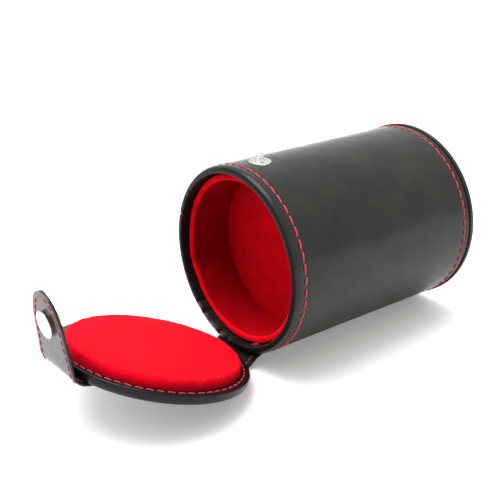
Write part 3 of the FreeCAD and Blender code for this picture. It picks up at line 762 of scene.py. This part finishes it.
def makeLidCover():
    radius, recess, inner, outer = lid["radius"], lid["recess"], lid["inner"], lid["outer"]
    points = roundCorners([
        (outer, 0), (outer, 20), (outer, radius, lid["round"]),
        (inner, radius, lid["innerRound"]), (inner, recess),
        (inner - 0.6, recess - 0.1), (inner - 0.6, 0)], 10)
    index = next(i for i, point in enumerate(points) if abs(point.y - recess) < 1e-3)
    points[index:index] = [Vector((inner, step)) for step in spread(38.7, 34, 16)]
    obj = latheMesh("lidCover", points, lidFrame, 480, lidShape, angle=55)
    finishPiece(obj, "lid", "lid", ["lid_cover"])
    spots = ringSpots(inner - 0.1, lid["stitchRadius"], lid["stitchCount"], lid["stitchLength"],
                      0, 0.05, 8)
    stitchMesh("lidStitches", spots, "lid", lidFrame, 0.75)


def padProfile():
    foot, top = lid["inner"], lid["inner"] + lid["padHeight"] - 0.35
    corners = [(foot - 0.3, lid["padFoot"] - 0.15), (foot + 0.5, lid["padFoot"]),
               (top, lid["padTop"] + 0.2, lid["padRound"]), (top + 0.1, 25), (top + 0.15, 0)]
    points = roundCorners(corners, 7, closed=False)
    rings = [Vector((top + 0.12, step)) for step in spread(31, 3, 12)]
    return points[:-2] + rings + points[-1:]


def makePad():
    # velvet drawn over foam: the sewn foot is held and the rest is blown up a little
    obj = latheMesh("lidPad", padProfile(), Matrix.Scale(mm, 4), 240, closed=False, angle=180)
    limit = lid["inner"] + 0.3
    held = obj.vertex_groups.new(name="held")
    held.add([v.index for v in obj.data.vertices if v.co.x / mm < limit], 1.0, "ADD")
    rest = [v.co.copy() for v in obj.data.vertices]
    cloth = obj.modifiers.new("cloth", "CLOTH")
    for key, value in padCloth.items():
        setattr(cloth.settings, key, value)
    cloth.settings.effector_weights.gravity = 0
    cloth.collision_settings.use_collision = False
    for step in range(padFrames):
        bpy.context.scene.frame_set(step + 1)
    evaluated = obj.evaluated_get(bpy.context.evaluated_depsgraph_get())
    moved = [v.co.copy() for v in evaluated.data.vertices]
    obj.modifiers.remove(cloth)
    most = padSwell * mm
    for vertex, start, end in zip(obj.data.vertices, rest, moved):
        shift = end - start
        if shift.length > most:
            shift = shift.normalized() * most
        vertex.co = start + shift
    bpy.context.scene.frame_set(1)
    for vertex in obj.data.vertices:
        place = vertex.co / mm
        dent = noise.noise(Vector((place.y, place.z, 0)) * 0.11) * 0.12
        if place.x > limit:
            vertex.co.x += dent * mm
            # the velvet puckers a little where it is drawn round the edge
            size = math.hypot(place.y, place.z)
            pull = easeInOut((size - 32) / 2.5) * (noise.noise(place * 0.28) - 0.35) * 0.35
            crease = abs(noise.noise(Vector((place.x * 0.3, place.y, place.z)) * 0.17))
            flank = 1 - easeInOut((place.x - 2.4) / 1.2)
            pull -= max(0.0, 0.17 - crease) * 2.6 * flank
            for axis in (1, 2):
                vertex.co[axis] += place[axis] / max(size, 1) * pull * mm
        vertex.co.z *= lid["padStretch"]
        size = math.hypot(vertex.co.y, vertex.co.z) / mm
        if place.x > limit - 0.2 and size > lid["padLimit"]:
            for axis in (1, 2):
                vertex.co[axis] *= lid["padLimit"] / size
    obj.data.transform(lidFrame @ Matrix.Scale(1 / mm, 4))
    obj.vertex_groups.clear()
    finishPiece(obj, "pad", "lid", ["pad_velvet"])


# Strap: two leathers with rounded, painted edges, one length from wall to tab tip
strap = {
    "width": 26.0, "thickness": 1.2, "edge": 0.42, "stitchInset": 2.2,
    "stitchLength": 3.2, "stitchPitch": 3.4, "columns": 14,
    "sewnEnd": 47.0, "endCorner": 6.0,
    "foldSlope": 34.0, "foldReach": 3.1, "foldRadius": 3.6, "foldEase": 3.2,
    "bendRadius": 7.4, "face": -6.7, "step": 0.8,
    "aboveFloor": 0.02,    # stitches under the strap are pressed in where it lies on the floor
    "tabTip": 27.4, "tabEnd": 11.4, "tabNeck": 22.0, "tabNose": 6.0, "tabCheek": 9.0,
}


def turnPoint(point, centre, degrees):
    # (along, up) turned as a hinge about +Y turns it
    angle = math.radians(degrees)
    a, b = point[0] - centre[0], point[1] - centre[1]
    return Vector((centre[0] + a * math.cos(angle) + b * math.sin(angle),
                   centre[1] - a * math.sin(angle) + b * math.cos(angle)))


def crossing(first, firstAlong, second, secondAlong):
    gap = second - first
    share = gap.cross(secondAlong) / firstAlong.cross(secondAlong)
    return first + firstAlong * share


def makeRoute(corners, step, curveOf=None):
    # rounded route cut into stations: (reach, point, direction, curve across)
    points = roundCorners(corners, 14, closed=False)
    dense = []
    for first, last in zip(points, points[1:]):
        length = (last - first).length
        if length > 1e-6:
            pieces = max(1, int(length / step))
            dense += [first + (last - first) * part / pieces for part in range(pieces)]
    dense.append(points[-1])
    route, reach = [], 0.0
    for index, point in enumerate(dense):
        before, after = dense[max(index - 1, 0)], dense[min(index + 1, len(dense) - 1)]
        if index:
            reach += (point - before).length
        curve = curveOf(point) if curveOf else 0.0
        route.append((reach, point, (after - before).normalized(), curve))
    return route


def onRoute(route, reach, across, depth):
    # a point of the strap, with the direction out of its outer face
    index = 1
    while index < len(route) - 1 and route[index][0] < reach:
        index += 1
    first, last = route[index - 1], route[index]
    share = (reach - first[0]) / (last[0] - first[0])
    point = first[1].lerp(last[1], share)
    along = first[2].lerp(last[2], share).normalized()
    curve = first[3] + (last[3] - first[3]) * share
    inward = Vector((along.y, -along.x))
    angle = across * curve
    side, drop = across, depth
    if curve > 1e-5:
        side = (1 / curve - depth) * math.sin(angle)
        drop = 1 / curve - (1 / curve - depth) * math.cos(angle)
    spot = point + inward * drop
    out = Vector((-inward.x * math.cos(angle), math.sin(angle), -inward.y * math.cos(angle)))
    return Vector((spot.x, side, spot.y)), out


def strapSection(half):
    # closed ring of (across, depth): depth 0 is the outer face
    thick, edge = strap["thickness"], min(strap["edge"], half * 0.5)
    columns = spread(-1, 1, strap["columns"] + 1)
    outer = [(column * (half - edge), 0.0) for column in columns]
    inner = [(column * (half - edge), thick) for column in reversed(columns)]
    turns = [math.pi * step / 8 for step in range(1, 8)]
    right = [(half - edge + edge * math.sin(turn), thick / 2 - thick / 2 * math.cos(turn))
             for turn in turns]
    left = [(-across, thick - depth) for across, depth in right]
    return outer + right + inner + left


def strapMesh(name, route, outline, place):
    # outline: (reach, half width) rows from one end of the strap to the other
    points, faces = [], []
    for reach, half in outline:
        section = strapSection(half)
        points += [onRoute(route, reach, across, depth)[0] for across, depth in section]
    size = len(points) // len(outline)
    for row in range(len(outline) - 1):
        faces += ringFaces(row * size, (row + 1) * size, size)
    last = (len(outline) - 1) * size
    faces += [tuple(range(size))[::-1], tuple(last + index for index in range(size))]
    obj = addMesh(name, points, faces, place, angle=70)
    cleanMesh(obj)
    for key in ("strap", "lining"):
        obj.data.materials.append(materials[key])
    for polygon in obj.data.polygons:
        lower = polygon.index % size
        polygon.material_index = int(strap["columns"] + 4 < lower < size - 4)
    return obj


def walkTrack(track, pitch, lead):
    # evenly spaced places along a line of flat points: (place, direction)
    spots, travelled, target = [], 0.0, lead
    for first, last in zip(track, track[1:]):
        gap = (last - first).length
        while gap > 1e-6 and travelled + gap >= target:
            spots.append((first.lerp(last, (target - travelled) / gap), (last - first) / gap))
            target += pitch
        travelled += gap
    return spots


def insetTrack(outline, inset):
    # the strap's outline moved in, down one side and back up the other
    side = [Vector(point) for point in outline]
    moved = []
    for index, point in enumerate(side):
        before, after = side[max(index - 1, 0)], side[min(index + 1, len(side) - 1)]
        along = (after - before).normalized()
        spot = point + Vector((along.y, -along.x)) * inset
        if spot.y > 0 and (not moved or (spot - moved[-1]).dot(along) > 0):
            moved.append(spot)
    return moved


def borderStitches(name, route, outline, place, seed, closedAtEnd):
    # stitches inside the strap's edge, seen on both faces
    random.seed(seed)
    side = insetTrack(outline, strap["stitchInset"])
    mirrored = [Vector((point.x, -point.y)) for point in reversed(side)]
    track = side + mirrored if closedAtEnd else mirrored + side
    spots = []
    for spot, along in walkTrack(track, strap["stitchPitch"], strap["stitchPitch"] / 2):
        for depth, sign in ((0.0, 1), (strap["thickness"], -1)):
            centre, out = onRoute(route, spot.x, spot.y, depth)
            ahead, _ = onRoute(route, spot.x + along.x * 0.3, spot.y + along.y * 0.3, depth)
            length = strap["stitchLength"] * random.uniform(0.93, 1.05)
            spots.append((centre, (ahead - centre).normalized(), out * sign, length))
    return stitchMesh(name, spots, None, place, 0.72)


def foldCorners():
    # outer face, from the sewn end on the wall to the middle of the lid, at rest
    wall = -cup["radius"] - strap["thickness"]
    slope = math.radians(strap["foldSlope"])
    axis = (hingePoint.x, hingePoint.z)
    lidEdge = turnPoint((strap["face"], -lid["radius"]), axis, -lidOpen)
    lidMiddle = turnPoint((strap["face"], 0), axis, -lidOpen)
    leave = Vector((strap["foldReach"], wall))
    fall = Vector((-math.cos(slope), -math.sin(slope)))
    under = crossing(lidEdge, (lidMiddle - lidEdge).normalized(), leave, fall)
    return [(strap["sewnEnd"], wall), (*leave, strap["foldEase"]),
            (*under, strap["foldRadius"]), tuple(lidMiddle)]


def makeStrapHinge():
    radius = cup["radius"] + strap["thickness"]
    # flat where it folds, and curved as the wall further on
    route = makeRoute(foldCorners(), strap["step"],
                      lambda point: easeInOut((point.x - 1.5) / 7.5) / radius)
    corner, half = strap["endCorner"], strap["width"] / 2
    turns = [math.radians(step) for step in range(0, 91, 6)]
    outline = [(corner * (1 - math.cos(turn)), half - corner + corner * math.sin(turn))
               for turn in turns]
    outline += [(station[0], half) for station in route if station[0] > corner + 0.3]
    obj = strapMesh("strapHinge", route, outline, cupFrame)
    threads = borderStitches("hingeStitches", route, outline, cupFrame, 31, False)
    for vertex in threads.data.vertices:
        vertex.co.z = max(vertex.co.z, strap["aboveFloor"] * mm)
    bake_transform(obj)
    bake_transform(threads)
    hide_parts("strap_outer_on_cup", "strap_lining_on_cup", "strap_outer_fold",
                "strap_lining_fold")


def tabSide():
    # one side of the tab's outline, from the bend to the middle of the rounded end
    tip, neck = strap["tabTip"], strap["tabNeck"] / 2
    cheek = tip - strap["tabEnd"] * 0.2
    corners = [(-3.0, strap["width"] / 2), (tip - strap["tabEnd"], neck, 12),
               (cheek, neck * 0.66, strap["tabCheek"]),
               (tip + strap["tabEnd"] * 0.06, 0, strap["tabNose"]),
               (cheek, -neck * 0.66)]
    points = roundCorners(corners, 16, closed=False)
    side = [point for point in points if point.y > 0.05]
    last = side[-1]
    return side + [Vector((last.x + last.y * 0.05, 0.02))]


def bendCorners():
    # outer face in the lid's frame, from the lid's middle to the tab's tip, at rest
    axis = (bendPoint.x, bendPoint.z)
    leaf = cup["radius"] + snap["gap"] + strap["thickness"]
    tip = turnPoint((strap["tabTip"] + 1, leaf), axis, -tabLean)
    near = turnPoint((0, leaf), axis, -tabLean)
    corner = crossing(Vector((strap["face"], 0)), Vector((0, 1)), near, tip - near)
    return [(strap["face"], 0), (*corner, strap["bendRadius"]), tuple(tip)]


def punchHole(obj, place, radius, low, high):
    # a round hole along the frame's Z
    profile = [(low, 0), (low, radius), (high, radius), (high, 0)]
    punch = latheMesh("punch", profile, place, 48, closed=False, axis="Z")
    cut = obj.modifiers.new("hole", "BOOLEAN")
    cut.operation = "DIFFERENCE"
    cut.solver = "EXACT"
    cut.object = punch
    solid = obj.evaluated_get(bpy.context.evaluated_depsgraph_get())
    mesh = bpy.data.meshes.new_from_object(solid)
    obj.modifiers.remove(cut)
    obj.data = mesh
    bpy.data.objects.remove(punch)


def makeStrapTab():
    corners = bendCorners()
    route = makeRoute(corners, strap["step"])
    half, whole = strap["width"] / 2, route[-1][0]
    leaf = [(whole - 1 - strap["tabTip"] + point.x, point.y) for point in tabSide()]
    outline = [(station[0], half) for station in route if station[0] < leaf[0][0] - 0.3]
    for share in [step / 20 for step in range(20)]:
        outline.append(tuple(a + (b - a) * share for a, b in zip(leaf[0], leaf[1])))
    outline += leaf[1:]
    obj = strapMesh("strapTab", route, outline, lidFrame)
    punchHole(obj, snapFrame(tabFrame, snap["gap"]), snap["hole"], -0.6, strap["thickness"] + 0.6)
    threads = borderStitches("tabStitches", route, outline, lidFrame, 21, True)
    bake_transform(obj)
    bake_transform(threads)
    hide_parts("strap_outer_bend", "strap_lining_bend", "tab_outer", "tab_lining",
                "strap_outer_on_lid", "strap_lining_on_lid")


# Snap: stud on the wall, cap and socket on the tab
snap = {
    "flange": 4.65, "plate": 0.9, "neck": 1.5, "knob": 2.0, "height": 3.6,
    "gap": 3.4,       # from the wall to the closed tab
    "hole": 2.95,     # through the tab
    "cap": 5.55, "wall": 1.2, "rise": 1.6, "barrel": 2.8, "sheet": 0.35,
}


def snapFrame(base, height):
    # over the middle of the snap, at a height above the wall
    return base @ Matrix.Translation((cup["studOffset"], 0, cup["radius"] + height))


def makeSnap():
    seat = math.sqrt(cup["radius"] ** 2 - snap["flange"] ** 2) - cup["radius"]
    plate, top, neck = seat + snap["plate"], snap["height"], snap["neck"]
    stud = roundCorners([
        (seat, 0), (seat, snap["flange"]), (plate, snap["flange"], 0.4), (plate, 3.7),
        (plate - 0.22, 3.4), (plate - 0.22, 1.9), (plate + 0.3, neck), (top - 1.6, neck),
        (top - 1.3, snap["knob"]), (top, snap["knob"], 0.8), (top, 0.75), (top - 0.3, 0.45),
        (top - 0.3, 0)], 6, closed=False)
    obj = latheMesh("snapStud", stud, snapFrame(cupFrame, 0), 72, closed=False,
                    axis="Z", angle=60)
    finishPiece(obj, "metal", "cup", ["snap_stud"])
    leaf, barrel, sheet = strap["thickness"], snap["barrel"], snap["sheet"]
    crown, bore = leaf + snap["rise"], barrel - sheet
    cap = roundCorners([
        (crown, 0), (crown, 3.2, 9.5), (leaf + snap["wall"] + 0.2, snap["cap"], 0.25),
        (leaf, snap["cap"] - 0.6), (leaf, barrel), (-sheet, barrel), (-sheet, 3.6),
        (-2 * sheet, 3.6), (-2 * sheet, bore), (leaf + sheet, bore), (leaf + sheet, 0)],
        8, closed=False)
    obj = latheMesh("snapCap", cap, snapFrame(tabFrame, snap["gap"]), 96,
                    closed=False, axis="Z", angle=50)
    finishPiece(obj, "metal", "tab", ["snap_cap"])


# Build everything
makeWrap()
makeCupStitches()
makeLinings()
print("cup dressed")
makeLidCover()
makePad()
print("lid dressed")
makeStrapHinge()
makeStrapTab()
makeSnap()
print("strap and snap dressed")


# Floor, light and camera
light = {
    "back": 1.8, "sun": 2.3, "sunSpread": 46.0, "floorGlow": 0.25,
    "sunFrom": (-0.10, 0.20, 0.95), "skyFrom": (0.05, 0.62, 0.62), "skySpan": (-0.38, 0.72),
    # share of "back" from the dim side behind the camera to the bright far side
    "tent": ((0.0, (0.068, 0.067, 0.070)), (0.5, (0.50, 0.49, 0.42)),
             (0.73, (0.725, 0.71, 0.755)), (1.0, (0.99, 0.98, 1.02))),
    "floor": (0.88, 0.88, 0.885),
}


def rayMask(tree, rays):
    # 1 for the kinds of ray named, else 0
    path = tree.nodes.new("ShaderNodeLightPath")
    value = path.outputs[rays[0]]
    for ray in rays[1:]:
        value = mathNode(tree, "MAXIMUM", value, path.outputs[ray])
    return value


def makeStage():
    points = [(-4, -4, 0), (4, -4, 0), (4, 4, 0), (-4, 4, 0)]
    floor = addMesh("floor", points, [(0, 1, 2, 3)], Matrix.Identity(4))
    # a matt white floor, a little brighter to the camera alone
    material, tree, shader = newMaterial("floorPaper", light["floor"], 0.9)
    shader.inputs["Specular IOR Level"].default_value = 0.1
    glow = mathNode(tree, "MULTIPLY", rayMask(tree, ["Is Camera Ray"]), light["floorGlow"])
    shader.inputs["Emission Color"].default_value = (1, 1, 1, 1)
    tree.links.new(glow, shader.inputs["Emission Strength"])
    floor.data.materials.append(material)


def makeWorld():
    # a tent, dim behind the camera, lights the object; the other rays see plain white
    world = bpy.data.worlds.new("studio")
    bpy.context.scene.world = world
    world.use_nodes = True
    tree = world.node_tree
    background = tree.nodes["Background"]
    place = tree.nodes.new("ShaderNodeTexCoord")
    toward = dotNode(tree, place.outputs["Generated"], Vector(light["skyFrom"]).normalized())
    share = rangeNode(tree, toward, 0, 1, *light["skySpan"])
    tent = rampNode(tree, share, light["tent"])
    seen = rayMask(tree, ["Is Camera Ray", "Is Glossy Ray", "Is Transmission Ray"])
    tone = tree.nodes.new("ShaderNodeMix")
    tone.data_type = "RGBA"
    tree.links.new(seen, tone.inputs[0])
    tree.links.new(tent, tone.inputs[6])
    tone.inputs[7].default_value = (1, 1, 1, 1)
    tree.links.new(tone.outputs[2], background.inputs["Color"])
    strength = rangeNode(tree, seen, light["back"], 1.0, 0.0, 1.0)
    tree.links.new(strength, background.inputs["Strength"])
    lamp = bpy.data.lights.new("key", "SUN")
    lamp.energy = light["sun"]
    lamp.angle = math.radians(light["sunSpread"])
    obj = addObject("key", lamp)
    obj.location = light["sunFrom"]
    obj.rotation_euler = Vector(light["sunFrom"]).to_track_quat("Z", "Y").to_euler()


camera = {
    # place and aim in the cup's own frame, in millimetres
    "place": (-214.9, -279.1, 151.5),
    "forward": (0.57858, 0.71977, -0.38364),
    "up": (0.23755, 0.30126, 0.92348),
    "focal": 67.06,
}


def makeCamera():
    data = bpy.data.cameras.new("camera")
    data.sensor_width = 36
    data.lens = camera["focal"]
    data.clip_start, data.clip_end = 0.01, 20
    obj = addObject("camera", data)
    turn = axes.to_3x3()
    back = -(turn @ Vector(camera["forward"])).normalized()
    up = turn @ Vector(camera["up"])
    right = up.cross(back).normalized()
    up = back.cross(right)
    rotation = Matrix((right, up, back)).transposed().to_4x4()
    obj.matrix_world = Matrix.Translation(cupFrame @ Vector(camera["place"])) @ rotation
    bpy.context.scene.camera = obj


makeStage()
makeWorld()
makeCamera()
bpy.context.scene.view_settings.view_transform = "Standard"
print("stage, light and camera ready")
